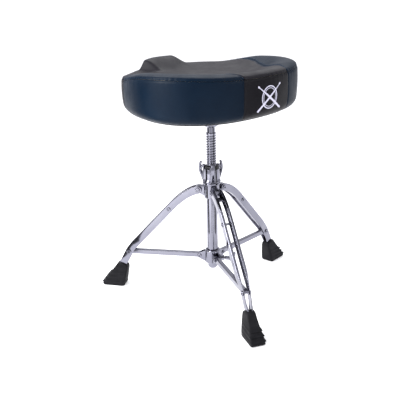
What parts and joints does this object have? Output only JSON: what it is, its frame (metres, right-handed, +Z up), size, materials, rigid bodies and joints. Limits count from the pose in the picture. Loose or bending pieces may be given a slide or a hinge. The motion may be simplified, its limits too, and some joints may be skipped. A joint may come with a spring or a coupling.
{
  "type": "drum throne",
  "caption": "Padded saddle seat on a threaded height rod, over a folding chromed tripod of paired-strip legs with rubber feet.",
  "frame": {"origin": "centre of the footprint, on the floor under the three feet", "axes": "+Z up; -Y along the front leg; +X to the right as the front leg is faced"},
  "size_m": [0.5566, 0.522, 0.606],
  "materials": {
    "chrome": "polished chrome plate",
    "zinc": "bright zinc plate",
    "nylon": "satin moulded nylon",
    "rubber": "moulded, matte",
    "blue_vinyl": "satin grained vinyl",
    "charcoal_vinyl": "satin grained vinyl",
    "plywood": "raw",
    "foam": "open cell foam",
    "lining": "non-woven cloth"
  },
  "bodies": {
    "column": {"column_tube": "chrome", "column_cap": "chrome", "upper_hub": "chrome"},
    "crown_nut": {"crown_nut": "chrome", "nylon_insert": "nylon"},
    "rod": {"threaded_rod": "chrome"},
    "seat": {"seat_bracket": "chrome", "plate_screw_1": "zinc", "plate_screw_2": "zinc", "plate_screw_3": "zinc", "plate_screw_4": "zinc", "clamp_nut": "zinc", "seat_board": "plywood", "dust_cover": "lining", "foam_pad": "foam", "top_cover_left": "blue_vinyl", "top_cover_right": "blue_vinyl", "top_cover_centre": "charcoal_vinyl", "boxing_left": "blue_vinyl", "boxing_right": "blue_vinyl", "boxing_back": "charcoal_vinyl", "boxing_front": "charcoal_vinyl"},
    "clamp_bolt": {"clamp_bolt": "zinc"},
    "lower_hub": {"lower_hub": "chrome"},
    "wing_bolt": {"wing_bolt": "chrome"},
    "leg_front": {"leg_front_strip_a": "chrome", "leg_front_strip_b": "chrome", "leg_front_bridge": "chrome", "leg_front_pivot_rivet": "chrome", "leg_front_mid_rivet": "chrome", "leg_front_stub_rivet_a": "chrome", "leg_front_stub_rivet_b": "chrome", "foot_front": "rubber"},
    "brace_front": {"brace_front": "chrome", "brace_front_rivet": "chrome"},
    "leg_right": {"leg_right_strip_a": "chrome", "leg_right_strip_b": "chrome", "leg_right_bridge": "chrome", "leg_right_pivot_rivet": "chrome", "leg_right_mid_rivet": "chrome", "leg_right_stub_rivet_a": "chrome", "leg_right_stub_rivet_b": "chrome", "foot_right": "rubber"},
    "brace_right": {"brace_right": "chrome", "brace_right_rivet": "chrome"},
    "leg_left": {"leg_left_strip_a": "chrome", "leg_left_strip_b": "chrome", "leg_left_bridge": "chrome", "leg_left_pivot_rivet": "chrome", "leg_left_mid_rivet": "chrome", "leg_left_stub_rivet_a": "chrome", "leg_left_stub_rivet_b": "chrome", "foot_left": "rubber"},
    "brace_left": {"brace_left": "chrome", "brace_left_rivet": "chrome"}
  },
  "joints": [
    {"name": "crown_nut_spin", "type": "hinge", "parent": "column", "child": "crown_nut", "pos_m": [0, 0.04875, 0.33], "axis": [0, 0, 1], "range_deg": [-4170, 3890]},
    {"name": "rod_lift", "type": "slide", "parent": "column", "child": "rod", "axis": [0, 0, 1], "range_m": [-0.07, 0.075]},
    {"name": "seat_swivel", "type": "hinge", "parent": "rod", "child": "seat", "pos_m": [0, 0.04875, 0.46], "axis": [0, 0, 1], "continuous": true},
    {"name": "clamp_bolt_turn", "type": "hinge", "parent": "seat", "child": "clamp_bolt", "pos_m": [-0.00702, 0.02061, 0.465], "axis": [0.9703, -0.2419, 0], "range_deg": [-1080, 0]},
    {"name": "leg_front_fold", "type": "hinge", "parent": "column", "child": "leg_front", "pos_m": [0, 0.01485, 0.2848], "axis": [1, 0, 0], "range_deg": [0, 36]},
    {"name": "leg_right_fold", "type": "hinge", "parent": "column", "child": "leg_right", "pos_m": [0.02936, 0.0657, 0.2848], "axis": [-0.5, 0.866, 0], "range_deg": [0, 36.5]},
    {"name": "leg_left_fold", "type": "hinge", "parent": "column", "child": "leg_left", "pos_m": [-0.02936, 0.0657, 0.2848], "axis": [-0.5, -0.866, 0], "range_deg": [0, 36.5]},
    {"name": "lower_hub_slide", "type": "slide", "parent": "column", "child": "lower_hub", "axis": [0, 0, 1], "range_m": [0, 0.108]},
    {"name": "brace_front_fold", "type": "hinge", "parent": "lower_hub", "child": "brace_front", "pos_m": [0, 0.01525, 0.1027], "axis": [1, 0, 0], "range_deg": [0, 75]},
    {"name": "brace_right_fold", "type": "hinge", "parent": "lower_hub", "child": "brace_right", "pos_m": [0.02901, 0.0655, 0.1027], "axis": [-0.5, 0.866, 0], "range_deg": [0, 75]},
    {"name": "brace_left_fold", "type": "hinge", "parent": "lower_hub", "child": "brace_left", "pos_m": [-0.02901, 0.0655, 0.1027], "axis": [-0.5, -0.866, 0], "range_deg": [0, 75]},
    {"name": "wing_bolt_turn", "type": "hinge", "parent": "lower_hub", "child": "wing_bolt", "pos_m": [0.0433, 0.02375, 0.097], "axis": [0.866, -0.5, 0], "range_deg": [0, 1080]}
  ],
  "couplings": [
    {"joint": "crown_nut_spin", "follows": "rod_lift", "rad_per_m": -966.64},
    {"joint": "leg_right_fold", "follows": "leg_front_fold", "ratio": 1},
    {"joint": "leg_left_fold", "follows": "leg_front_fold", "ratio": 1},
    {"joint": "lower_hub_slide", "follows": "leg_front_fold", "m_per_rad": 0.17084},
    {"joint": "brace_front_fold", "follows": "leg_front_fold", "ratio": 2.0747},
    {"joint": "brace_right_fold", "follows": "leg_front_fold", "ratio": 2.0747},
    {"joint": "brace_left_fold", "follows": "leg_front_fold", "ratio": 2.0747}
  ]
}
